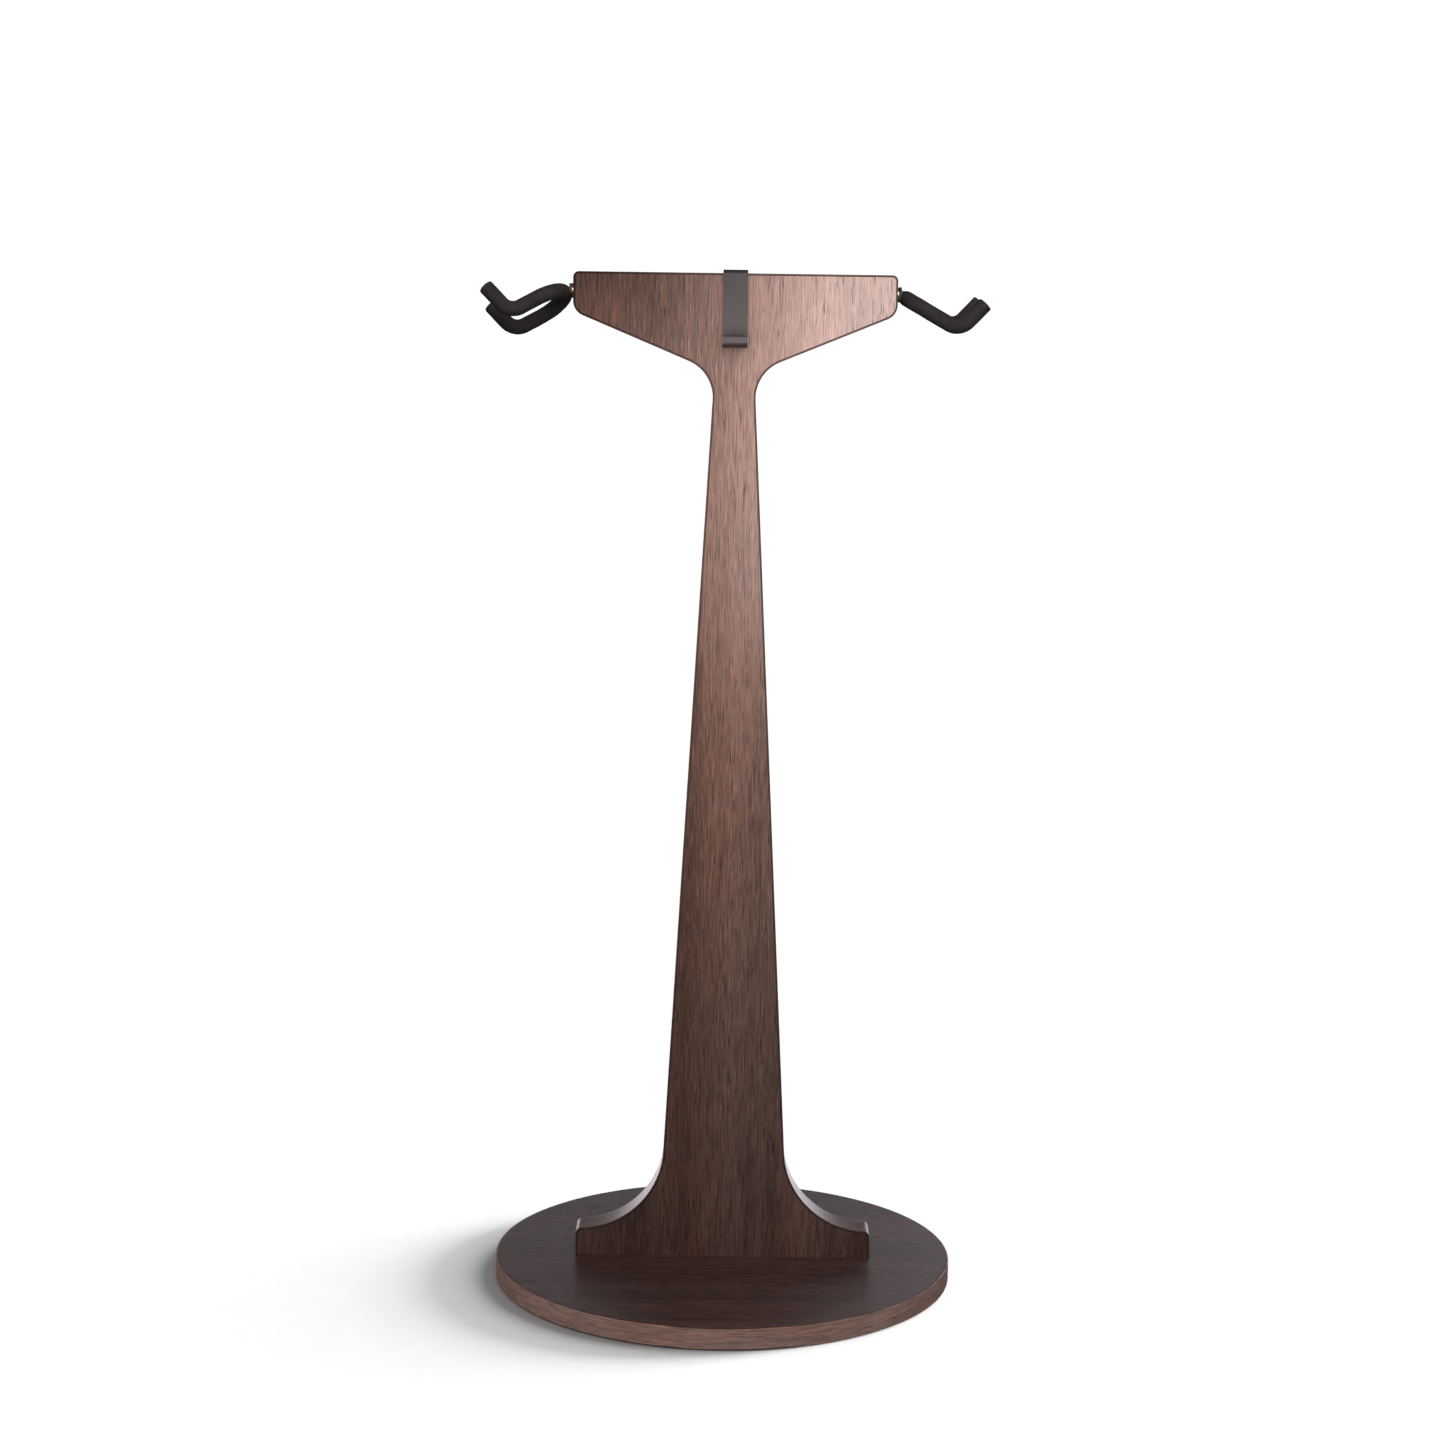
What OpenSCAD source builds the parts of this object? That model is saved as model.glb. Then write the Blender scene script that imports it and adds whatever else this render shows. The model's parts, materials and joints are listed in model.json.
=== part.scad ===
// Free-standing display stand for two guitars. A flat tapered post board with a winged head
// stands on a round base. A swivelling yoke with foam-covered arms sits on each end face of
// the head, and a bent steel strap over the middle of the head makes a hook for leads.
// Millimetres. X runs from yoke to yoke, the front is -Y, +Z is up, the floor is Z = 0.

/* [Base] */
// Diameter of the round base
base_d = 460; // [400:5:520]
// Thickness of the base board
base_t = 20; // [18:1:26]
// Thickness of the pads under the base
pad_t = 1.5; // [1:0.5:4]
// Number of pads
pad_count = 6; // [4:1:8]
// Diameter of one pad
pad_d = 30; // [20:1:40]

/* [Post] */
// Height of the post board above the base
post_h = 985; // [850:5:1100]
// Thickness of the post board
post_t = 36; // [30:1:42]
// Width of the post's straight edges where they would meet the base
post_w_bottom = 133.7; // [120:0.1:150]
// Width of the post's straight edges where they would meet the top
post_w_top = 28.9; // [24:0.1:44]
// Radius that blends the post into the head
neck_r = 38; // [20:1:50]
// Radius that blends the post into the foot
ankle_r = 85; // [60:1:100]
// Thickness of the strip round the edges of the base and the post
band_t = 2; // [1:0.5:3]

/* [Head] */
// Width of the head from end face to end face
head_w = 314.6; // [280:0.2:340]
// Height of each end face
head_end_h = 38.4; // [34:0.2:50]
// Radius of the head's top corners
head_top_r = 5.5; // [1:0.5:8]
// Radius of the head's lower corners
head_low_r = 15; // [5:1:18]
// Slope of the head's wings, degrees from level
wing_slope = 22.4; // [18:0.2:26]

/* [Foot] */
// Width of the foot
foot_w = 298; // [260:2:320]
// Height of each end of the foot
foot_end_h = 27.5; // [20:0.5:32]
// Radius of the foot's end corners
foot_r = 6; // [2:1:12]
// Slope of the foot's upper edges next to its ends, degrees from level
foot_slope = 3; // [0:0.5:12]

/* [Cable hook] */
// Width of the strap
strap_w = 24; // [16:1:30]
// Thickness of the strap
strap_t = 3; // [2:0.5:4]
// Length of the strap's back leg below the top of the head
hook_back_l = 38; // [20:1:60]
// Depth of the hook's underside below the top of the head
hook_drop = 71.5; // [50:0.5:90]
// Room inside the hook, front to back
hook_gap = 22; // [16:1:30]
// Height of the hook's lip above its underside
hook_lip_h = 11.6; // [10:0.1:25]

/* [Yokes] */
// Depth of the yoke axis below the top of the head
yoke_drop = 18.5; // [17:0.5:22]
// Angle of the arms below level, degrees
arm_slope = 29.6; // [25:0.1:33]
// Angle of the tips above level, degrees
tip_rise = 46.5; // [40:0.5:50]
// Half the distance between the two arms
arm_half = 31.5; // [30.5:0.5:38]
// Reach of the valley between arm and tip, from the end face
valley_x = 59.5; // [57:0.5:66]
// Reach of the middle of the tips, from the end face
tip_x = 84; // [82:0.5:92]
// Diameter of the steel rod
rod_d = 7; // [6:0.5:9]
// Outer diameter of the foam sleeves
foam_d = 15; // [13:0.5:17]
// How far the front arm of the left yoke is swivelled up, degrees
left_swivel = 16; // [-45:0.5:45]
// How far the front arm of the right yoke is swivelled up, degrees
right_swivel = -2.5; // [-45:0.5:45]

/* [Hidden] */

$fn = 96;
base_top = pad_t + base_t;
pad_ring_r = base_d / 2 - 35;
long = 400;                 // longer than anything that is cut through
play = 0.05;                // radial clearance of parts that slide into each other
gap = 0.3;                  // clearance between parts that can come apart

// Foot fasteners: bolts up through the base into threaded inserts, dowels between them
bolt_x = [-112, -38, 38, 112];
dowel_x = [-75, 75];
bolt_r = 3;
bolt_head_r = 6;
bolt_sink = 0.3;            // depth of the bolt head below the underside of the base
bolt_in_post = 15;
socket_r = 2.3;
insert_r = 5;
insert_l = 16;
insert_bore_l = 19;
dowel_r = 4;
dowel_in_base = 12;
dowel_in_post = 18;
dowel_chamfer = 1;

// Strap
saddle_r = 0.6;             // inner radius of the bends over the head
hook_r = 4;                 // inner radius of the bends of the hook
strap_edge_r = 1.2;         // rounding at the strap's ends

// Yoke hardware, measured outwards from the end face
yoke_insert_r = 6;
yoke_insert_l = 24;
yoke_bore_l = 27;
flange_r = 7.5;
flange_t = 1;
washer_r = 7;
washer_t = 0.8;
nut_af = 13;                // across flats
nut_t = 2.6;
stud_r = 4;
stud_in = 22;
axial_play = 0.05;
washer_x = flange_t + axial_play;
nut_x = washer_x + washer_t + axial_play;
nut_room_r = 8;

// Yoke rod, in the plane that slopes down from the stud
hub_x = 9.3;                // middle of the cross rod, outwards from the end face
hub_z = -3.5;               // and below the stud's axis
hub_bend_r = 30;
valley_bend_r = 15;
rod_tip_cover = 6;          // foam beyond the end of the rod
seam = 0.4;                 // half the joint between front and rear foam
bend_entry = 0.8;           // how far a straight stretch enters the bend beside it
bend_slack = 0.1;           // and how much slimmer it is
arm_reach = (valley_x - hub_x) / cos(arm_slope);
valley_turn = arm_slope + tip_rise;
valley_cut = valley_bend_r * tan(valley_turn / 2);
arm_l = arm_reach - valley_cut;
valley_z = hub_z - arm_reach * sin(arm_slope);
tip_l = (tip_x - valley_x) / cos(tip_rise) - valley_cut;

wood_colour = [0.36, 0.27, 0.24];
band_colour = [0.42, 0.33, 0.30];
steel_colour = [0.10, 0.10, 0.10];
foam_colour = [0.13, 0.12, 0.12];
brass_colour = [0.78, 0.62, 0.34];
zinc_colour = [0.66, 0.67, 0.68];

// ---- outlines ----

function unit(v) = v / norm(v);
function turned(v, a) = [v.x * cos(a) - v.y * sin(a), v.x * sin(a) + v.y * cos(a)];
function cross2(a, b) = a.x * b.y - a.y * b.x;
function flat(p) = [p[0], p[1]];
function steps(r) = r > 20 ? 24 : 8;

// Points of one corner q = [x, y, radius] between its neighbours p and s
function corner(p, q, s) =
    let (back = unit(flat(p) - flat(q)), ahead = unit(flat(s) - flat(q)))
    let (half = acos(back * ahead) / 2, side = sign(cross2(-back, ahead)))
    let (start = flat(q) + back * q[2] / tan(half))
    let (centre = flat(q) + unit(back + ahead) * q[2] / sin(half), n = steps(q[2]))
    [for (i = [0 : n]) centre + turned(start - centre, side * (180 - 2 * half) * i / n)];

// Closed outline with every corner rounded by its own radius; 0 keeps it sharp
function rounded(pts) =
    let (n = len(pts))
    [for (i = [0 : n - 1])
        each pts[i][2] == 0 ? [flat(pts[i])]
            : corner(pts[(i + n - 1) % n], pts[i], pts[(i + 1) % n])];

// Corner q moved inwards by d on both of its edges, for an anticlockwise outline
function inner_corner(p, q, s, d) =
    let (a = unit(flat(q) - flat(p)), b = unit(flat(s) - flat(q)))
    let (na = [-a.y, a.x], nb = [-b.y, b.x], m = flat(q) + (na + nb) * d / (1 + na * nb))
    [m.x, m.y, q[2] == 0 ? 0 : max(0.1, q[2] - sign(cross2(a, b)) * d)];

function inset(pts, d) =
    let (n = len(pts))
    [for (i = [0 : n - 1]) inner_corner(pts[(i + n - 1) % n], pts[i], pts[(i + 1) % n], d)];

function mirrored(side) =
    concat(side, [for (i = [len(side) - 1 : -1 : 0]) [-side[i].x, side[i].y, side[i][2]]]);

// Post outline as corners, with its underside at height z0. The post's straight edge is at
// half width post_w_bottom / 2 - taper * z. The edges of the foot and the wings rise or fall
// by foot_rise and wing_rise for each unit inwards.
taper = (post_w_bottom - post_w_top) / 2 / post_h;
foot_rise = tan(foot_slope);
wing_rise = tan(wing_slope);
ankle_z = (foot_end_h + foot_rise * (foot_w - post_w_bottom) / 2) / (1 - foot_rise * taper);
neck_z = (post_h - head_end_h - wing_rise * (head_w - post_w_bottom) / 2) / (1 + wing_rise * taper);
function post_half(z) = post_w_bottom / 2 - taper * z;

// The ankle's bend is kept small enough to end before the foot's end corner begins
foot_edge = (foot_w / 2 - post_half(ankle_z)) / cos(foot_slope);
foot_cut = foot_r * tan((90 - foot_slope) / 2) + 0.5;
ankle_turn = 90 - foot_slope - atan(taper);
ankle_bend_r = min(ankle_r, (foot_edge - foot_cut) / tan(ankle_turn / 2));
function post_corners(z0) = mirrored([
    [foot_w / 2, z0, 0],
    [foot_w / 2, foot_end_h, foot_r],
    [post_half(ankle_z), ankle_z, ankle_bend_r],
    [post_half(neck_z), neck_z, neck_r],
    [head_w / 2, post_h - head_end_h, head_low_r],
    [head_w / 2, post_h, head_top_r]]);
function post_core(z0) = rounded(inset(post_corners(z0 - band_t), band_t));

// Profile of the strap, as [Y, Z] corners from the top of the head down the back
saddle_y = post_t / 2 + gap;
lip_y = -saddle_y - strap_t - hook_gap;
strap_profile = rounded([
    [saddle_y + strap_t, -hook_back_l, strap_edge_r],
    [saddle_y + strap_t, gap + strap_t, saddle_r + strap_t],
    [-saddle_y - strap_t, gap + strap_t, saddle_r + strap_t],
    [-saddle_y - strap_t, -hook_drop + strap_t, hook_r],
    [lip_y, -hook_drop + strap_t, hook_r],
    [lip_y, -hook_drop + hook_lip_h, strap_edge_r],
    [lip_y - strap_t, -hook_drop + hook_lip_h, strap_edge_r],
    [lip_y - strap_t, -hook_drop, hook_r + strap_t],
    [-saddle_y, -hook_drop, hook_r + strap_t],
    [-saddle_y, gap, saddle_r],
    [saddle_y, gap, saddle_r],
    [saddle_y, -hook_back_l, strap_edge_r]]);

// ---- shared shapes ----

// A board of thickness t standing on the base, from an outline in X and Z
module standing_board(outline, t) {
    translate([0, t / 2, base_top]) rotate([90, 0, 0]) linear_extrude(t) polygon(outline);
}

// Cylinder along +X
module rod_x(r, l) {
    rotate([0, 90, 0]) cylinder(r = r, h = l);
}

module at_bolts() {
    for (x = bolt_x) translate([x, 0, 0]) children();
}

module at_dowels() {
    for (x = dowel_x) translate([x, 0, 0]) children();
}

// ---- base ----

module bolt_body(extra) {
    head_z = pad_t + bolt_sink - extra;
    translate([0, 0, head_z])
        cylinder(r1 = bolt_head_r + extra, r2 = bolt_r + extra, h = bolt_head_r - bolt_r);
    translate([0, 0, head_z]) cylinder(r = bolt_r + extra, h = base_top + bolt_in_post - head_z);
}

module base_board() {
    color(wood_colour) difference() {
        translate([0, 0, pad_t]) cylinder(r = base_d / 2 - band_t, h = base_t, $fn = 240);
        at_bolts() bolt_body(gap);
        at_bolts() translate([0, 0, -1]) cylinder(r = bolt_head_r + gap, h = pad_t + 1 + gap / 2);
        at_dowels() translate([0, 0, base_top - dowel_in_base])
            cylinder(r = dowel_r + play, h = dowel_in_base + 1);
    }
}

module base_edge_band() {
    color(band_colour) translate([0, 0, pad_t]) difference() {
        cylinder(r = base_d / 2, h = base_t, $fn = 240);
        translate([0, 0, -1]) cylinder(r = base_d / 2 - band_t, h = base_t + 2, $fn = 240);
    }
}

module base_pads() {
    color("dimgray") for (i = [0 : pad_count - 1])
        rotate([0, 0, (i + 0.5) * 360 / pad_count]) translate([pad_ring_r, 0, 0])
            cylinder(r = pad_d / 2, h = pad_t);
}

module foot_bolts() {
    color(zinc_colour) at_bolts() difference() {
        bolt_body(0);
        translate([0, 0, pad_t]) cylinder(r = socket_r, h = bolt_sink + 3, $fn = 6);
    }
}

// ---- post ----

module yoke_bores() {
    for (side = [-1, 1]) yoke_place(side, 0)
        translate([-yoke_bore_l, 0, 0]) rod_x(yoke_insert_r + play, long);
}

module post_board() {
    color(wood_colour) difference() {
        standing_board(post_core(0), post_t);
        at_bolts() translate([0, 0, base_top - 1])
            cylinder(r = insert_r + play, h = insert_bore_l + 1);
        at_dowels() translate([0, 0, base_top - 1])
            cylinder(r = dowel_r + play, h = dowel_in_post + 1);
        yoke_bores();
    }
}

module post_edge_band() {
    color(band_colour) difference() {
        standing_board(rounded(post_corners(0)), post_t);
        standing_board(post_core(-10), post_t + 2);
        yoke_bores();
    }
}

module foot_inserts() {
    color(brass_colour) at_bolts() translate([0, 0, base_top + gap]) difference() {
        cylinder(r = insert_r, h = insert_l);
        translate([0, 0, -1]) cylinder(r = bolt_r + play, h = insert_l + 2);
    }
}

module foot_dowels() {
    dowel_l = dowel_in_base + dowel_in_post - 2 * gap;
    color("burlywood") at_dowels() translate([0, 0, base_top - dowel_in_base + gap])
        rotate_extrude() polygon([
            [0, 0], [dowel_r - dowel_chamfer, 0], [dowel_r, dowel_chamfer],
            [dowel_r, dowel_l - dowel_chamfer], [dowel_r - dowel_chamfer, dowel_l], [0, dowel_l]]);
}

// ---- cable hook ----

module cable_hook() {
    color(steel_colour) translate([-strap_w / 2, 0, base_top + post_h])
        rotate([90, 0, 90]) linear_extrude(strap_w) polygon(strap_profile);
}

// ---- yokes ----

// Puts yoke parts, drawn outwards along +X from the end face, on one side of the head
module yoke_place(side, swivel) {
    translate([side * head_w / 2, 0, base_top + post_h - yoke_drop])
        rotate([-swivel, 0, 0]) mirror([side < 0 ? 1 : 0, 0, 0]) children();
}

// Quarter ring or less, in the XY plane, from angle a0 through a degrees
module ring_part(bend_r, d, a0, a) {
    rotate([0, 0, a0]) rotate_extrude(angle = a) translate([bend_r, 0]) circle(d = d, $fn = 48);
}

// A straight stretch of bent rod, up the Z axis. Its ends enter the bends beside it by
// bend_entry and are a hair slimmer, so that no two surfaces coincide.
module straight(d, l, entry_at_end) {
    translate([0, 0, -bend_entry])
        cylinder(d = d - bend_slack, h = l + bend_entry * (entry_at_end ? 2 : 1), $fn = 48);
}

// One arm of the bent rod, arm = -1 front or 1 rear: half of the cross rod, the bend round
// into the arm, the arm, the bend at the valley and the tip, cut short by cut
module arm_path(d, arm, start, cut) {
    cross_l = arm_half - hub_bend_r;
    translate([hub_x, 0, hub_z]) rotate([0, arm_slope, 0]) {
        translate([0, arm * start, 0]) rotate([-arm * 90, 0, 0])
            cylinder(d = d - bend_slack, h = cross_l + bend_entry - start, $fn = 48);
        translate([hub_bend_r, arm * cross_l, 0])
            ring_part(hub_bend_r, d, arm > 0 ? 90 : 180, 90);
        translate([hub_bend_r, arm * arm_half, 0]) rotate([0, 90, 0])
            straight(d, arm_l - hub_bend_r, true);
        translate([arm_l, arm * arm_half, valley_bend_r]) rotate([90, 0, 0])
            ring_part(valley_bend_r, d, -90, valley_turn);
    }
    translate([valley_x, arm * arm_half, valley_z]) rotate([0, 90 - tip_rise, 0])
        translate([0, 0, valley_cut]) straight(d, tip_l - cut, false);
}

module yoke_insert() {
    color(brass_colour) difference() {
        union() {
            translate([-yoke_insert_l, 0, 0]) rod_x(yoke_insert_r, yoke_insert_l);
            rod_x(flange_r, flange_t);
        }
        translate([-long / 2, 0, 0]) rod_x(stud_r + play, long);
    }
}

module friction_washer() {
    color([0.15, 0.15, 0.15]) translate([washer_x, 0, 0]) difference() {
        rod_x(washer_r, washer_t);
        translate([-1, 0, 0]) rod_x(stud_r + play, washer_t + 2);
    }
}

module lock_nut() {
    color(steel_colour) translate([nut_x, 0, 0]) difference() {
        rotate([0, 90, 0]) cylinder(r = nut_af / 2 / cos(30), h = nut_t, $fn = 6);
        translate([-1, 0, 0]) rod_x(stud_r + play, nut_t + 2);
    }
}

module yoke_stud() {
    color(zinc_colour) difference() {
        translate([-stud_in, 0, 0]) rod_x(stud_r, stud_in + hub_x);
        translate([hub_x, long / 2, hub_z]) rotate([90, 0, 0]) cylinder(d = rod_d, h = long);
    }
}

module yoke_rod() {
    color(steel_colour) for (arm = [-1, 1]) arm_path(rod_d, arm, 0, rod_tip_cover);
}

module sleeve(arm) {
    color(foam_colour) difference() {
        arm_path(foam_d, arm, seam, 0);
        arm_path(rod_d + 2 * play, arm, 0, rod_tip_cover - play);
        translate([-1, 0, 0]) rod_x(nut_room_r, nut_x + nut_t + gap + 1);
        rod_x(stud_r + play, hub_x);
    }
}

base_board();
base_edge_band();
base_pads();
post_board();
post_edge_band();
foot_bolts();
foot_inserts();
foot_dowels();
cable_hook();
yoke_place(-1, 0) yoke_insert();  // left_yoke_insert
yoke_place(-1, 0) friction_washer();  // left_friction_washer
yoke_place(-1, left_swivel) lock_nut();  // left_lock_nut
yoke_place(-1, left_swivel) yoke_stud();  // left_yoke_stud
yoke_place(-1, left_swivel) yoke_rod();  // left_yoke_rod
yoke_place(-1, left_swivel) sleeve(-1);  // left_front_sleeve
yoke_place(-1, left_swivel) sleeve(1);  // left_rear_sleeve
yoke_place(1, 0) yoke_insert();  // right_yoke_insert
yoke_place(1, 0) friction_washer();  // right_friction_washer
yoke_place(1, right_swivel) lock_nut();  // right_lock_nut
yoke_place(1, right_swivel) yoke_stud();  // right_yoke_stud
yoke_place(1, right_swivel) yoke_rod();  // right_yoke_rod
yoke_place(1, right_swivel) sleeve(-1);  // right_front_sleeve
yoke_place(1, right_swivel) sleeve(1);  // right_rear_sleeve
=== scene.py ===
import json
import math

import bmesh
import bpy
from mathutils import Matrix, Vector, noise


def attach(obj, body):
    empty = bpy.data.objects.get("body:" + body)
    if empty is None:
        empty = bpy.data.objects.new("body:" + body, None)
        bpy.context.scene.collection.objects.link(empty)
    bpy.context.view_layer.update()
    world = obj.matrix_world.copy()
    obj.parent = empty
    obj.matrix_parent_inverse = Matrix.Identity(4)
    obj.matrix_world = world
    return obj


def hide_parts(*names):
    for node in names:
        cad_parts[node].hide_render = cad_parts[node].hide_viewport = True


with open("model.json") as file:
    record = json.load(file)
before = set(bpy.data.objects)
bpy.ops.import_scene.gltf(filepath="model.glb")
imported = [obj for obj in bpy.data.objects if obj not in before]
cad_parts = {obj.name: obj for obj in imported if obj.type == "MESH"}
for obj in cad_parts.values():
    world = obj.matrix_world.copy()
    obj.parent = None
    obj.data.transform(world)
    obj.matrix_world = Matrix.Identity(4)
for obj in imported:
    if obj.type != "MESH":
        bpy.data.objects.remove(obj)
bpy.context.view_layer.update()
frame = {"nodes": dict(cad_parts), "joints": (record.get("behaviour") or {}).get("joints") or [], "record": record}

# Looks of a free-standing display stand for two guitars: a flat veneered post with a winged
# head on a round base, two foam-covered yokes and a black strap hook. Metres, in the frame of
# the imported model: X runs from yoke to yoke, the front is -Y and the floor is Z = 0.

MM = 0.001
ALONG = 0.022                   # marks an axis that a wood's grain follows

# ---- sizes of the yokes, the same as in the CAD model ----
# In a yoke's own frame X points away from the post, Y runs along the cross rod, -Y being the
# front arm at zero swivel, and Z is up. The origin is where the axis leaves the end face.
HUB_OUT = 9.3 * MM              # middle of the cross rod, outwards from the end face
HUB_DROP = 3.5 * MM             # and below the swivel axis
HUB_BEND_R = 30 * MM
VALLEY_BEND_R = 15 * MM
ARM_HALF = 31.5 * MM            # half the distance between the two arms
ARM_SLOPE = math.radians(29.6)  # of the arms below level
TIP_RISE = math.radians(46.5)   # of the tips above level
VALLEY_OUT = 59.5 * MM
TIP_OUT = 84 * MM
FOAM_R = 7.5 * MM
BORE_R = 3.55 * MM
TIP_COVER = 6 * MM              # foam beyond the end of the rod
SEAM = 0.4 * MM                 # half the joint between front and rear foam
NUT_FACE = 4.7 * MM             # the foam is pressed flat against the lock nut here
NUT_SPREAD = 8.4 * MM           # radius of the flat that the nut presses into the foam
NUT_FADE = 3 * MM               # the flat runs out over this distance
TIP_EDGE_R = 2.0 * MM           # rounding round the end of a tip
TIP_DOME = 0.5 * MM             # how far the end of a tip bulges
POLE_DIP = 0.1 * MM             # its highest point is pressed in by this
SEAM_R = 1.0 * MM               # rounding at the joint between front and rear foam
LUMP = 0.22 * MM                # slow unevenness of the foam
PITTING = 0.07 * MM             # and fast unevenness
SLACK = 0.12 * MM               # taken off all over, so the lumps don't swell the foam
FOAM_STEP = 1.2 * MM            # distance between rings of the mesh
FOAM_SIDES = 48                 # points in a ring

# ---- rounded edges ----
STRAP_EDGE_R = 0.45 * MM
RIM_EDGE_R = 0.9 * MM
POST_EDGE_R = 1.4 * MM

# ---- camera ----
EYE = (-0.0070, -2.768, 0.9451)
LOOK_DOWN = math.radians(7.81)
LEAN = math.radians(0.78)       # turns the picture, so the post leans slightly to the right

JOINTS = {joint["name"]: joint for joint in frame["joints"]}


# ---- shader nodes ----

class Finish:
    """A material and short ways to add and join its nodes."""

    def __init__(self, name, **settings):
        self.material = bpy.data.materials.new(name)
        self.material.use_nodes = True
        self.tree = self.material.node_tree
        self.tree.nodes.clear()
        self.shader = self.add("ShaderNodeBsdfPrincipled")
        out = self.add("ShaderNodeOutputMaterial")
        self.tree.links.new(self.shader.outputs["BSDF"], out.inputs["Surface"])
        self.place = self.add("ShaderNodeTexCoord").outputs["Object"]
        self.set(**settings)

    def add(self, kind, **settings):
        node = self.tree.nodes.new(kind)
        for name, value in settings.items():
            setattr(node, name, value)
        return node

    def feed(self, socket, value):
        if isinstance(value, bpy.types.NodeSocket):
            self.tree.links.new(value, socket)
        else:
            socket.default_value = value

    def set(self, **settings):
        """Sets the shader's sockets; roughness=0.4 sets Roughness."""
        for name, value in settings.items():
            label = name.replace("_", " ").title().replace("Ior", "IOR")
            self.feed(self.shader.inputs[label], value)

    def math(self, operation, *values):
        node = self.add("ShaderNodeMath", operation=operation)
        for socket, value in zip(node.inputs, values):
            self.feed(socket, value)
        return node.outputs[0]

    def stretched(self, scale, place=None):
        node = self.add("ShaderNodeMapping")
        self.feed(node.inputs["Vector"], place or self.place)
        node.inputs["Scale"].default_value = scale
        return node.outputs[0]

    def noise(self, place, scale, detail=2.0, roughness=0.5, distortion=0.0):
        node = self.add("ShaderNodeTexNoise")
        self.feed(node.inputs["Vector"], place)
        node.inputs["Scale"].default_value = scale
        node.inputs["Detail"].default_value = detail
        node.inputs["Roughness"].default_value = roughness
        node.inputs["Distortion"].default_value = distortion
        return node.outputs["Fac"]

    def cells(self, place, scale):
        node = self.add("ShaderNodeTexVoronoi")
        self.feed(node.inputs["Vector"], place)
        node.inputs["Scale"].default_value = scale
        return node.outputs["Distance"]

    def spread(self, value, low, high, to_low=0.0, to_high=1.0):
        """value, taken from low..high to to_low..to_high and held there outside it."""
        node = self.add("ShaderNodeMapRange", clamp=True)
        for socket, number in zip(node.inputs, (value, low, high, to_low, to_high)):
            self.feed(socket, number)
        return node.outputs[0]

    def blend(self, share, a, b, how="MIX"):
        """Colour a with share of b laid over it."""
        node = self.add("ShaderNodeMix", data_type="RGBA", blend_type=how)
        self.feed(node.inputs["Factor"], share)
        for name, value in (("A", a), ("B", b)):
            socket = [s for s in node.inputs if s.name == name and s.type == "RGBA"][0]
            if not isinstance(value, bpy.types.NodeSocket):
                value = (*value, 1.0)
            self.feed(socket, value)
        return [s for s in node.outputs if s.type == "RGBA"][0]

    def raise_by(self, height, distance, strength):
        """Bump of height 0..1 times distance."""
        node = self.add("ShaderNodeBump")
        node.inputs["Strength"].default_value = strength
        node.inputs["Distance"].default_value = distance
        self.feed(node.inputs["Height"], height)
        self.feed(self.shader.inputs["Normal"], node.outputs[0])

    def edges(self, reach):
        """0 on flat surfaces, up to 1 within reach of an edge."""
        rounded = self.add("ShaderNodeBevel", samples=4)
        rounded.inputs["Radius"].default_value = reach
        normal = self.add("ShaderNodeNewGeometry").outputs["Normal"]
        dot = self.add("ShaderNodeVectorMath", operation="DOT_PRODUCT")
        self.feed(dot.inputs[0], rounded.outputs[0])
        self.feed(dot.inputs[1], normal)
        return self.spread(dot.outputs["Value"], 1.0, 0.8)


# ---- materials ----

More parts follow.
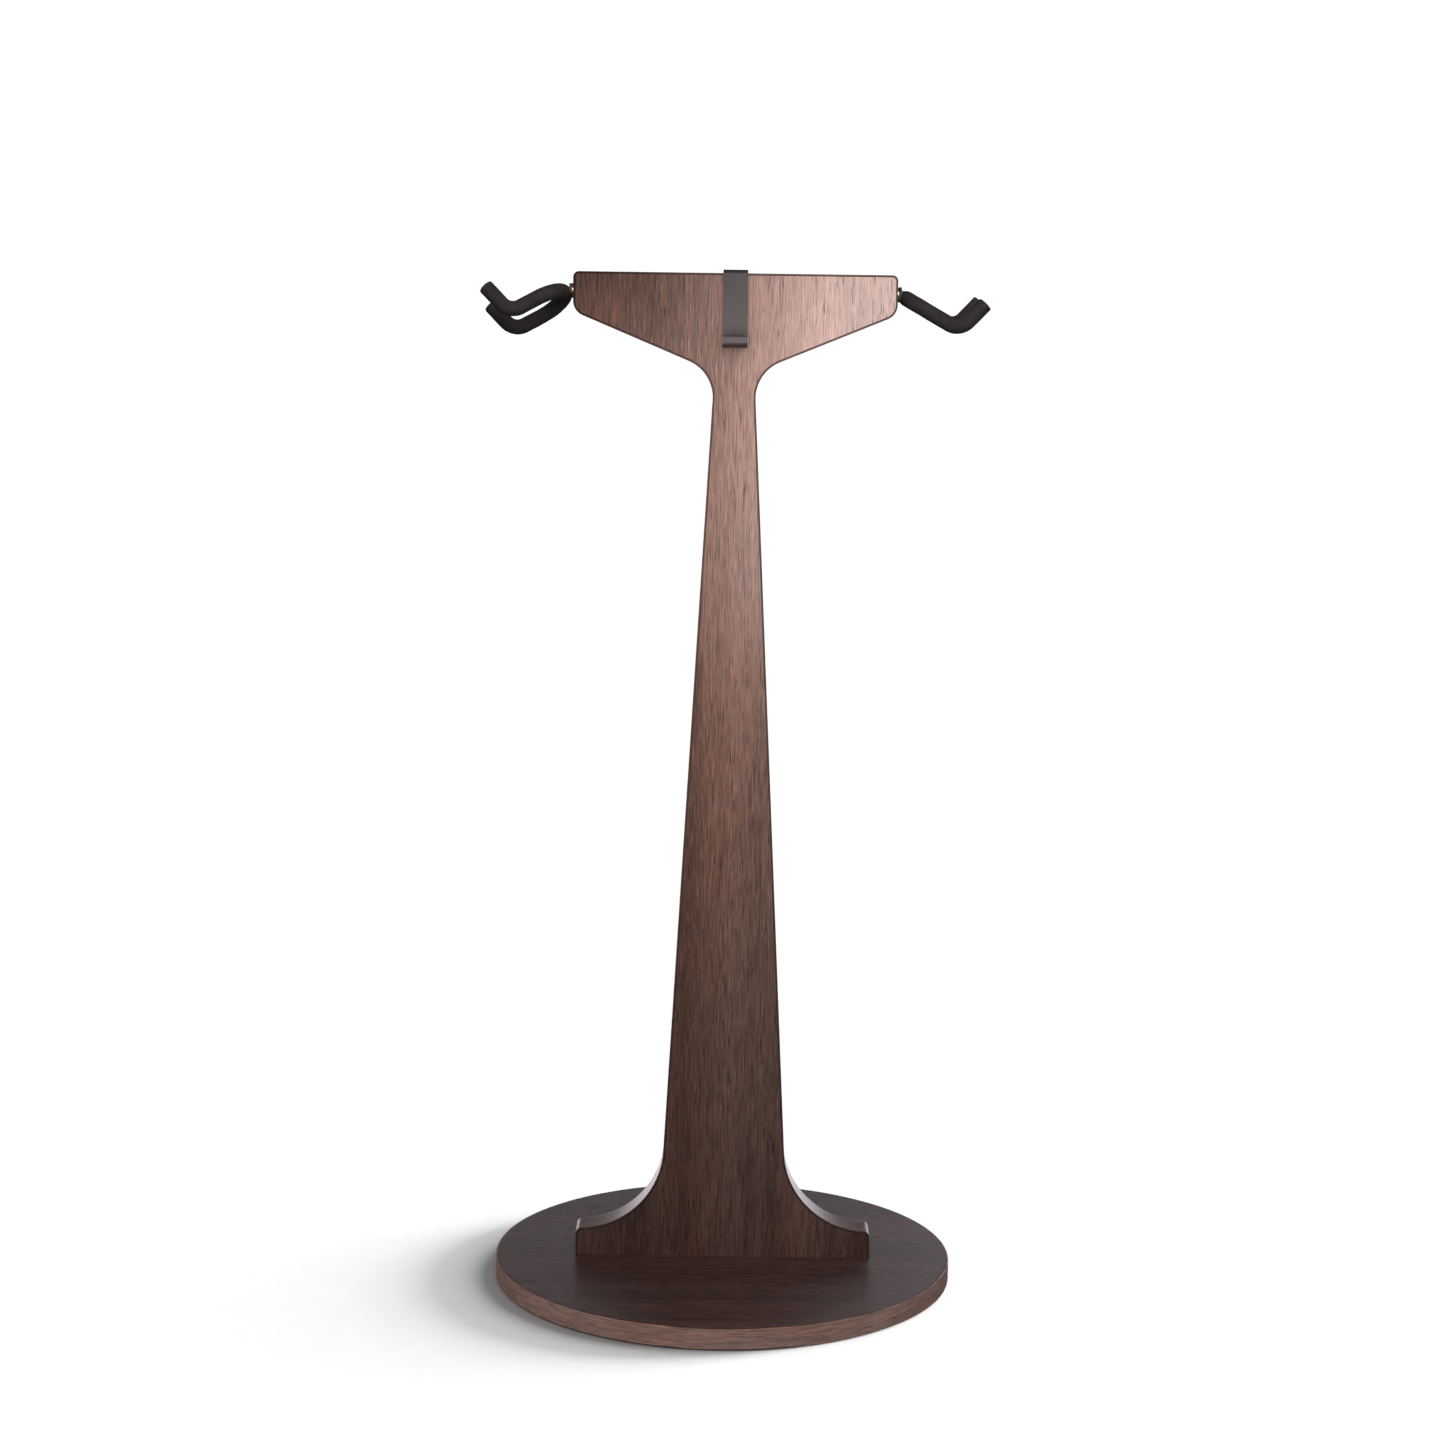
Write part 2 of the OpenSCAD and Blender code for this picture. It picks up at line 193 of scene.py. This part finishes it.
def veneer(name, across, grain, dark, light, roughness=0.40, figure=1.0, relief=1.0):
    """Satin wood veneer. across is the scale of the slow changes of tone. grain says how the
    pattern is squeezed along each axis: ALONG for an axis that the grain follows, 1 for one
    across it. figure weighs the veins and strokes, and relief their depth."""
    f = Finish(name)

    # The grain wanders a few millimetres from straight
    bend = f.add("ShaderNodeTexNoise")
    f.feed(bend.inputs["Vector"], f.stretched([0.3 if g < 1 else 1 for g in grain]))
    bend.inputs["Scale"].default_value = 22.0
    bend.inputs["Detail"].default_value = 1.0
    wander = f.add("ShaderNodeVectorMath", operation="MULTIPLY_ADD")
    f.feed(wander.inputs[0], bend.outputs["Color"])
    wander.inputs[1].default_value = (2.5 * MM, 2.5 * MM, 2.5 * MM)
    f.feed(wander.inputs[2], f.place)
    place = wander.outputs[0]

    def pattern(squeeze, scale, detail, rough):
        node = f.stretched([squeeze * g / ALONG if g < 1 else g for g in grain], place)
        return f.noise(node, scale, detail, rough)

    # Slow changes of tone and between red-brown and grey-brown
    tone = f.spread(pattern(0.022, across, 3.0, 0.55), 0.32, 0.68)
    colour = f.blend(tone, dark, light)
    hue = f.spread(pattern(0.05, across * 1.7, 2.0, 0.5), 0.42, 0.62, 0.0, 0.8 * figure)
    colour = f.blend(hue, colour, (0.80, 0.92, 0.98), "MULTIPLY")

    # Fibres, a millimetre wide and a few centimetres long
    fibre = pattern(0.035, 900.0, 3.0, 0.65)
    shade = f.spread(fibre, 0.32, 0.68, 1 - 0.48 * figure, 1 + 0.48 * figure)
    shades = f.add("ShaderNodeCombineXYZ")
    for socket in shades.inputs:
        f.feed(socket, shade)
    colour = f.blend(1.0, colour, shades.outputs[0], "MULTIPLY")

    # Dark veins, broken up by the fibres
    vein = f.spread(pattern(0.085, 52.0, 2.0, 0.55), 0.60, 0.72)
    vein = f.math("MULTIPLY", vein, f.spread(fibre, 0.35, 0.60, 0.85, 0.35))
    colour = f.blend(f.math("MULTIPLY", vein, 0.8 * figure), colour, [0.42 * c for c in dark])

    # Painted highlight: pale strokes along the fibres, standing in for glints. Open pores: short dark strokes
    highlight_fleck = f.spread(pattern(0.05, 950.0, 1.5, 0.5), 0.60, 0.72)
    colour = f.blend(f.math("MULTIPLY", highlight_fleck, 0.42 * figure), colour, [1.9 * c for c in light])
    pores = f.spread(pattern(0.06, 760.0, 1.5, 0.55), 0.60, 0.70)
    pore_share = f.math("MULTIPLY", pores, min(1.0, 0.80 * figure))
    colour = f.blend(pore_share, colour, [0.30 * c for c in dark])

    satin = f.spread(fibre, 0.3, 0.7, roughness - 0.05 * figure, roughness + 0.06 * figure)
    rough = f.math("ADD", satin, f.math("MULTIPLY", pores, 0.22 * figure))
    f.set(base_color=colour, roughness=rough, ior=1.5)
    height = f.math("SUBTRACT", f.math("MULTIPLY", fibre, 0.45), f.math("MULTIPLY", pores, 0.8))
    f.raise_by(height, 0.12 * MM, 0.5 * relief)
    return f.material


def foam_finish():
    """Closed-cell foam: fine open cells on a dull skin, rubbed a little paler in patches."""
    f = Finish("foam", roughness=0.82, ior=1.45)
    cells = f.cells(f.place, 1500.0)
    grit = f.noise(f.place, 900.0, 3.0, 0.6)
    patch = f.noise(f.place, 55.0, 3.0, 0.55)
    colour = f.blend(f.spread(patch, 0.35, 0.7),
                     (0.0170, 0.0125, 0.0125), (0.0280, 0.0210, 0.0210))
    colour = f.blend(f.spread(cells, 0.12, 0.0, 0.0, 0.55), colour, (0.004, 0.004, 0.004))
    f.set(base_color=colour, roughness=f.spread(grit, 0.3, 0.7, 0.74, 0.92))
    f.set(specular_ior_level=0.3)
    height = f.math("ADD", f.math("MULTIPLY", cells, 0.7), f.math("MULTIPLY", grit, 0.5))
    f.raise_by(height, 0.22 * MM, 0.6)
    return f.material


def powder_coat():
    """Black powder coat: a fine orange-peel skin, worn slightly grey along its edges."""
    f = Finish("black_powder_coat", ior=1.5)
    peel = f.noise(f.place, 1100.0, 2.0, 0.5)
    cloud = f.noise(f.place, 45.0, 3.0, 0.5)
    colour = f.blend(f.spread(cloud, 0.35, 0.65),
                     (0.0180, 0.0120, 0.0125), (0.0250, 0.0175, 0.0182))
    chips = f.spread(f.noise(f.place, 210.0, 4.0), 0.45, 0.65, 0.0, 0.5)
    worn = f.math("MULTIPLY", f.edges(0.7 * MM), chips)
    colour = f.blend(worn, colour, (0.10, 0.095, 0.09))
    f.set(base_color=colour, roughness=f.spread(cloud, 0.35, 0.65, 0.36, 0.46))
    f.raise_by(peel, 0.10 * MM, 0.45)
    return f.material


def black_oxide():
    """Blackened steel with a little bare metal at the corners."""
    f = Finish("black_steel", metallic=0.6)
    grit = f.noise(f.place, 1400.0, 3.0, 0.6)
    colour = f.blend(f.spread(grit, 0.3, 0.7), (0.012, 0.012, 0.012), (0.035, 0.034, 0.033))
    worn = f.math("MULTIPLY", f.edges(0.5 * MM), 0.5)
    colour = f.blend(worn, colour, (0.16, 0.155, 0.15))
    f.set(base_color=colour, roughness=f.spread(grit, 0.3, 0.7, 0.34, 0.52))
    f.raise_by(grit, 0.05 * MM, 0.4)
    return f.material


def turned_metal(name, dark, light, low, high):
    """Plated or turned metal with fine tool marks and light stains, rougher where stained."""
    f = Finish(name, metallic=1.0)
    marks = f.noise(f.place, 2600.0, 1.0, 0.5)
    stain = f.noise(f.place, 260.0, 4.0, 0.6)
    colour = f.blend(f.spread(stain, 0.35, 0.7), light, dark)
    f.set(base_color=colour, roughness=f.spread(stain, 0.3, 0.7, low, high))
    f.raise_by(marks, 0.03 * MM, 0.35)
    return f.material


def moulded_nylon():
    """Black nylon with a faint cloudy texture from the mould."""
    f = Finish("nylon", roughness=0.45, ior=1.53)
    cloud = f.noise(f.place, 500.0, 3.0, 0.5)
    f.set(base_color=f.blend(cloud, (0.010, 0.010, 0.010), (0.018, 0.018, 0.018)))
    f.set(roughness=f.spread(cloud, 0.3, 0.7, 0.4, 0.55))
    f.raise_by(cloud, 0.03 * MM, 0.3)
    return f.material


def pressed_felt():
    """Dense black felt: matted hairs with a soft sheen."""
    f = Finish("pad_felt", roughness=0.95)
    hairs = f.noise(f.place, 1800.0, 4.0, 0.7, 1.5)
    colour = f.blend(f.spread(hairs, 0.3, 0.7), (0.008, 0.008, 0.008), (0.035, 0.034, 0.033))
    f.set(base_color=colour)
    f.set(roughness=f.spread(hairs, 0.3, 0.7, 0.86, 1.0), sheen_weight=0.3)
    f.raise_by(hairs, 0.3 * MM, 0.8)
    return f.material


def floor_finish():
    """White studio floor with hardly any mottling."""
    f = Finish("studio_floor", roughness=0.9)
    grain = f.noise(f.place, 30.0, 2.0, 0.5)
    colour = f.blend(f.spread(grain, 0.4, 0.6), (0.895, 0.895, 0.895), (0.905, 0.905, 0.905))
    f.set(base_color=colour)
    return f.material


# Darkest and lightest wood of the post's faces, of its edge strip, of the base's top and of
# bare beech
WOOD = (0.083, 0.038, 0.027), (0.172, 0.087, 0.064)
STRIP = (0.058, 0.031, 0.025), (0.095, 0.052, 0.042)
BASE = (0.033, 0.0155, 0.0125), (0.068, 0.033, 0.027)
BEECH = (0.42, 0.25, 0.13), (0.56, 0.37, 0.21)

FINISHES = {
    "post_veneer": veneer("post_veneer", 17.0, (1, 1, ALONG), *WOOD),
    "post_edge_veneer": veneer("post_edge_veneer", 30.0, (ALONG, 1, ALONG), *STRIP,
                               roughness=0.29, figure=0.2, relief=0.0),
    "base_veneer": veneer("base_veneer", 15.0, (ALONG, 1, 1), *BASE,
                          roughness=0.34, figure=1.1, relief=0.8),
    "base_edge_veneer": veneer("base_edge_veneer", 30.0, (ALONG, ALONG, 1), *WOOD,
                               roughness=0.42, relief=0.8),
    "beech": veneer("beech", 90.0, (1, 1, ALONG), *BEECH, roughness=0.6, figure=0.4),
    "foam": foam_finish(),
    "black_powder_coat": powder_coat(),
    "black_steel": black_oxide(),
    "zinc_steel": turned_metal("zinc_steel", (0.36, 0.37, 0.39), (0.60, 0.61, 0.63), 0.24, 0.42),
    "brass": turned_metal("brass", (0.50, 0.33, 0.11), (0.82, 0.60, 0.28), 0.20, 0.38),
    "nylon": moulded_nylon(),
    "pad_felt": pressed_felt(),
}


# ---- CAD nodes: materials and rounded edges ----

def finish_nodes():
    for part in frame["record"]["subparts"]:
        node = frame["nodes"][part["node"]]
        node.data.materials.clear()
        node.data.materials.append(FINISHES[part["material_slot"]])


def round_edges(node, width, segments=3):
    """Rounds a CAD node's sharp edges; the node's own mesh stays as it is."""
    piece = frame["nodes"][node]
    weld = piece.modifiers.new("weld", "WELD")
    weld.merge_threshold = 0.001 * MM
    bevel = piece.modifiers.new("bevel", "BEVEL")
    bevel.width = width
    bevel.segments = segments
    bevel.limit_method = "ANGLE"
    bevel.angle_limit = math.radians(40)
    bevel.use_clamp_overlap = True
    bevel.harden_normals = False
    normals = piece.modifiers.new("normals", "WEIGHTED_NORMAL")
    normals.keep_sharp = True


# ---- foam sleeves ----

def centreline(arm):
    """Points along one arm's middle line, from the joint at the hub to the tip, in the yoke's
    frame. arm is -1 for the front arm and 1 for the rear one."""
    turn = ARM_SLOPE + TIP_RISE
    cut = VALLEY_BEND_R * math.tan(turn / 2)
    reach = (VALLEY_OUT - HUB_OUT) / math.cos(ARM_SLOPE)
    arm_end = reach - cut
    tip_l = (TIP_OUT - VALLEY_OUT) / math.cos(TIP_RISE) - cut
    cross = ARM_HALF - HUB_BEND_R
    points = []

    def straight(start, end):
        count = max(1, round((end - start).length / FOAM_STEP))
        points.extend(start.lerp(end, i / count) for i in range(count))

    def arc(centre, start, axis, angle):
        spoke = start - centre
        count = max(2, round(spoke.length * abs(angle) / FOAM_STEP))
        points.extend(centre + Matrix.Rotation(angle * i / count, 3, axis) @ spoke
                      for i in range(count))

    straight(Vector((0, SEAM, 0)), Vector((0, cross, 0)))
    arc(Vector((HUB_BEND_R, cross, 0)), Vector((0, cross, 0)), "Z", -math.pi / 2)
    straight(Vector((HUB_BEND_R, ARM_HALF, 0)), Vector((arm_end, ARM_HALF, 0)))
    arc(Vector((arm_end, ARM_HALF, VALLEY_BEND_R)), Vector((arm_end, ARM_HALF, 0)), "Y", -turn)
    bend_end = Vector((arm_end + VALLEY_BEND_R * math.sin(turn), ARM_HALF,
                       VALLEY_BEND_R * (1 - math.cos(turn))))
    tip = bend_end + Vector((math.cos(turn), 0, math.sin(turn))) * tip_l
    straight(bend_end, tip)
    points.append(tip)

    tilt = Matrix.Translation((HUB_OUT, 0, -HUB_DROP)) @ Matrix.Rotation(ARM_SLOPE, 4, "Y")
    return [tilt @ Vector((p.x, arm * p.y, p.z)) for p in points]


def rings_along(points, radii):
    """Rings of points round a line, turned as little as possible from one to the next."""
    rings = []
    across = Vector((0, 0, 1))
    for i, point in enumerate(points):
        ahead = points[min(i + 1, len(points) - 1)] - points[max(i - 1, 0)]
        ahead.normalize()
        across = (across - ahead * across.dot(ahead)).normalized()
        side = ahead.cross(across)
        ring = []
        for k in range(FOAM_SIDES):
            angle = 2 * math.pi * k / FOAM_SIDES
            ring.append(point + (across * math.cos(angle) + side * math.sin(angle)) * radii[i])
        rings.append(ring)
    return rings


def cap_line(points, steps=7):
    """More points and radii at the end of a line, for a rounded edge and then a slight dome,
    and the dome's highest point."""
    ahead = (points[-1] - points[-2]).normalized()
    end = points[-1]
    line, radii = [], []
    for i in range(1, steps + 1):
        angle = math.pi / 2 * i / steps
        line.append(end + ahead * TIP_EDGE_R * (math.sin(angle) - 1))
        radii.append(FOAM_R - TIP_EDGE_R * (1 - math.cos(angle)))
    flat_r = FOAM_R - TIP_EDGE_R
    for i in range(1, steps):
        share = 1 - i / steps
        line.append(end + ahead * TIP_DOME * (1 - share * share))
        radii.append(flat_r * share)
    return line, radii, end + ahead * TIP_DOME


def sleeve_mesh(name, arm, seed):
    """A foam sleeve as one closed hollow skin: the outside from the joint at the hub to the
    domed tip, and the bore that the rod fills."""
    line = centreline(arm)
    walked = [0.0]
    for a, b in zip(line, line[1:]):
        walked.append(walked[-1] + (b - a).length)
    total = walked[-1]
    outer_line, outer_radii = [], []
    for point, d in zip(line, walked):
        if d < total - TIP_EDGE_R:
            drop = SEAM_R - math.sqrt(max(0.0, SEAM_R ** 2 - max(0.0, SEAM_R - d) ** 2))
            outer_line.append(point)
            outer_radii.append(FOAM_R - drop)
    end_line, end_radii, pole = cap_line(line)
    outer_line += end_line
    outer_radii += end_radii
    outer_rings = rings_along(outer_line, outer_radii)
    bore = [p for p, d in zip(line, walked) if d < total - TIP_COVER]
    bore_rings = rings_along(bore, [BORE_R] * len(bore))
    ahead = (line[-1] - line[-2]).normalized()

    mesh = bmesh.new()

    def soft(point, centre):
        """The foam's small unevenness, and the flat that the lock nut presses into it."""
        out = (point - centre).normalized()
        lump = noise.noise(point * 70 + Vector((seed, 0, 0))) * LUMP
        lump += noise.noise(point * 210 + Vector((0, seed, 0))) * PITTING
        moved = point + out * (lump - SLACK)
        from_axis = math.hypot(moved.y, moved.z)
        if moved.x < NUT_FACE:
            hold = 1 - max(0.0, min(1.0, (from_axis - NUT_SPREAD) / NUT_FADE))
            moved.x += (NUT_FACE - moved.x) * hold * hold * (3 - 2 * hold)
        return moved

    outer_verts = []
    for ring, centre in zip(outer_rings, outer_line):
        outer_verts.append([mesh.verts.new(soft(p, centre)) for p in ring])
    bore_verts = [[mesh.verts.new(p) for p in ring] for ring in bore_rings]
    pole_vert = mesh.verts.new(pole - ahead * POLE_DIP)
    bore_end = mesh.verts.new(bore[-1])

    def skin(a, b, flip):
        for k in range(FOAM_SIDES):
            n = (k + 1) % FOAM_SIDES
            face = [a[k], a[n], b[n], b[k]]
            mesh.faces.new(face[::-1] if flip else face)

    def fan(ring, tip, flip):
        for k in range(FOAM_SIDES):
            n = (k + 1) % FOAM_SIDES
            face = [ring[k], ring[n], tip]
            mesh.faces.new(face[::-1] if flip else face)

    for a, b in zip(outer_verts, outer_verts[1:]):
        skin(a, b, False)
    fan(outer_verts[-1], pole_vert, False)
    for a, b in zip(bore_verts, bore_verts[1:]):
        skin(a, b, True)
    fan(bore_verts[-1], bore_end, True)
    skin(outer_verts[0], bore_verts[0], True)
    bmesh.ops.recalc_face_normals(mesh, faces=mesh.faces)
    data = bpy.data.meshes.new(name)
    mesh.to_mesh(data)
    mesh.free()
    for face in data.polygons:
        face.use_smooth = True
    return data


def make_sleeves():
    """Puts a detailed mesh in the place of each plain CAD sleeve. The CAD yokes rest in the
    middle of their range, so the meshes are turned by the same angle."""
    for side_name, side in (("left", -1), ("right", 1)):
        joint = JOINTS[side_name + "_yoke_swivel"]
        swivel = math.radians(sum(joint["range_deg"]) / 2)
        place = Matrix.Translation(joint["pos_m"]) @ Matrix.Rotation(-swivel, 4, "X")
        flip = Matrix.Diagonal((side, 1, 1, 1))
        for arm_name, arm in (("front", -1), ("rear", 1)):
            node = f"{side_name}_{arm_name}_sleeve"
            data = sleeve_mesh(node + "_foam", arm, 3.7 * side + 1.9 * arm)
            data.transform(place @ flip)
            if side < 0:
                data.flip_normals()
            data.materials.append(FINISHES["foam"])
            piece = bpy.data.objects.new(node + "_foam", data)
            bpy.context.scene.collection.objects.link(piece)
            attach(piece, side_name + "_yoke")
            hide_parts(node)


# ---- studio ----

def aim(thing, place, target):
    thing.location = place
    thing.rotation_euler = (Vector(target) - Vector(place)).to_track_quat("-Z", "Y").to_euler()


def area_light(name, place, target, size, radiance, tint=(1, 1, 1)):
    """A rectangular lamp as a softbox: radiance is its brightness, whatever its size."""
    light = bpy.data.lights.new(name, "AREA")
    light.shape = "RECTANGLE"
    light.size, light.size_y = size
    light.energy = radiance * math.pi * size[0] * size[1]
    light.color = tint
    thing = bpy.data.objects.new(name, light)
    bpy.context.scene.collection.objects.link(thing)
    aim(thing, place, target)
    thing.visible_camera = False
    return thing


def sun_light(name, place, irradiance, width):
    """A lamp of one strength all over the floor. width is its angle across, in degrees."""
    light = bpy.data.lights.new(name, "SUN")
    light.energy = irradiance
    light.angle = math.radians(width)
    thing = bpy.data.objects.new(name, light)
    bpy.context.scene.collection.objects.link(thing)
    aim(thing, place, (0, 0, 0))
    return thing


def collect(name, things):
    group = bpy.data.collections.new(name)
    for thing in things:
        group.objects.link(thing)
    return group


def only(name, lights, things):
    """Lets the lights shine on these things and nothing else."""
    group = collect(name, things)
    for light in lights:
        light.light_linking.receiver_collection = group


def nodes_named(*names):
    return [frame["nodes"][name] for name in names]


def make_floor():
    """A wide white floor. It takes the base's shadow but isn't mirrored in the stand and throws
    no light on it: the lamps below do that, so that it can be set for each part."""
    data = bpy.data.meshes.new("studio_floor")
    reach = 60.0
    corners = [(-reach, -reach, 0), (reach, -reach, 0), (reach, reach, 0), (-reach, reach, 0)]
    data.from_pydata(corners, [], [(0, 1, 2, 3)])
    data.materials.append(floor_finish())
    floor = bpy.data.objects.new("studio_floor", data)
    bpy.context.scene.collection.objects.link(floor)
    floor.visible_diffuse = False
    floor.visible_glossy = False
    floor.visible_shadow = False
    return floor


def make_world():
    """White behind the stand, and a weaker fill that lights it from all sides: weaker still in
    its reflections."""
    world = bpy.data.worlds.new("studio")
    bpy.context.scene.world = world
    world.use_nodes = True
    nodes, links = world.node_tree.nodes, world.node_tree.links
    nodes.clear()
    out = nodes.new("ShaderNodeOutputWorld")
    mix = nodes.new("ShaderNodeMixShader")
    path = nodes.new("ShaderNodeLightPath")
    seen, fill = nodes.new("ShaderNodeBackground"), nodes.new("ShaderNodeBackground")
    seen.inputs["Color"].default_value = (1, 1, 1, 1)
    seen.inputs["Strength"].default_value = 1.05
    fill.inputs["Color"].default_value = (0.98, 0.99, 1.0, 1)
    ambient = nodes.new("ShaderNodeMapRange")
    ambient.inputs["To Min"].default_value = 0.25
    ambient.inputs["To Max"].default_value = 0.13
    links.new(path.outputs["Is Glossy Ray"], ambient.inputs["Value"])
    links.new(ambient.outputs[0], fill.inputs["Strength"])
    links.new(path.outputs["Is Camera Ray"], mix.inputs[0])
    links.new(fill.outputs[0], mix.inputs[1])
    links.new(seen.outputs[0], mix.inputs[2])
    links.new(mix.outputs[0], out.inputs["Surface"])


def light_front(pieces):
    """The lamps in front, each for its own parts of the stand."""
    yokes = [piece for piece in pieces if piece.name.startswith(("left_", "right_"))]
    boards = [piece for piece in pieces if piece not in yokes]
    warm = (1.0, 0.985, 0.985)
    # The key light hangs in front of the head and is turned to the right and down, so the
    # head's left end and the foot stay darker. It has no mirror image of its own: that comes
    # from the softbox, which shows on the right half of the head only.
    key = area_light("key", (0.001, -0.44, 0.92), (0.686, -0.010, 0.332), (0.48, 0.51), 8.7,
                     (1.0, 0.99, 0.98))
    key.visible_glossy = False
    softbox = area_light("softbox", (0.380, -0.431, 1.003), (0.850, 0.424, 0.783),
                         (0.68, 0.72), 9.6, warm)
    softbox.visible_diffuse = False
    only("boards", [key], boards)
    only("front", [softbox], nodes_named("post_board"))
    # The strap's own mirror image stays below the head's top, so the strap's top bend is dark
    strap_light = area_light("strap_light", (0, -0.45, 0.79), (0, 0, 0.79), (0.8, 0.42), 2.9, warm)
    strap_light.visible_diffuse = False
    only("strap", [strap_light], nodes_named("cable_hook"))
    yoke_light = area_light("yoke_light", (0.15, -1.6, 1.6), (0, 0, 0.97), (1.0, 1.0), 11.0)
    only("yokes", [yoke_light], yokes)


def light_behind():
    """The white backdrop as the base mirrors it, and the white backdrop and floor, more
    strongly, as the curves of the foot mirror them: so this lamp reaches below the floor."""
    backdrop = area_light("backdrop", (0.3, 3.0, 0.42), (0.3, 0, 0.42), (6.0, 0.84), 0.6,
                          (0.93, 0.90, 1.0))
    side_panel = area_light("side_panel", (1.3, 2.4, 0.9), (0, 0, 0.1), (1.4, 1.2), 2.3,
                            (0.93, 0.91, 1.0))
    only("mirroring", [backdrop, side_panel], nodes_named("base_board", "base_edge_band"))
    glare = area_light("glare", (0, 3.0, -0.24), (0, 0, -0.24), (7.0, 1.32), 1.7,
                       (0.98, 0.93, 1.0))
    only("edging", [glare], nodes_named("post_edge_band"))


def light_low(floor):
    """The light that the floor throws up on the rim, and the floor's own light: a low sun for
    the base's long soft shadow and a high one for its close shadow."""
    glows = [area_light(f"floor_glow_{i}", (x, y, 0.06), (0, 0, 0.01), (1.0, 0.3), 4.2)
             for i, (x, y) in enumerate(((-0.9, -0.35), (0, -0.9), (0.9, -0.35)))]
    only("rim", glows, nodes_named("base_edge_band"))
    suns = [sun_light("low_sun", (2.0, 0.75, 0.30), 10.0, 22),
            sun_light("high_sun", (1.6, 0.6, 1.0), 2.8, 60)]
    only("floor", suns, [floor])
    shading = collect("low_parts", nodes_named("base_board", "base_edge_band", "base_pads"))
    for sun in suns:
        sun.light_linking.blocker_collection = shading


def make_studio():
    floor = make_floor()
    make_world()
    pieces = [thing for thing in bpy.context.scene.collection.all_objects
              if thing.type == "MESH" and thing is not floor]
    light_front(pieces)
    light_behind()
    light_low(floor)


def make_camera():
    """The eye stands in front of the post, a little below the top of its head, and looks down
    a little."""
    camera = bpy.data.cameras.new("camera")
    camera.lens = 70.0
    camera.sensor_width = 36.0
    camera.clip_start, camera.clip_end = 0.05, 200.0
    eye = bpy.data.objects.new("camera", camera)
    bpy.context.scene.collection.objects.link(eye)
    level = math.radians(90)
    eye.matrix_world = (Matrix.Translation(EYE) @ Matrix.Rotation(level - LOOK_DOWN, 4, "X")
                        @ Matrix.Rotation(LEAN, 4, "Z"))
    bpy.context.scene.camera = eye


def set_view():
    view = bpy.context.scene.view_settings
    view.view_transform = "Standard"
    view.look = "None"
    view.exposure = 0.0
    view.gamma = 1.0


finish_nodes()
round_edges("cable_hook", STRAP_EDGE_R)
round_edges("base_edge_band", RIM_EDGE_R)
round_edges("post_edge_band", POST_EDGE_R, segments=4)
make_sleeves()
make_studio()
make_camera()
set_view()
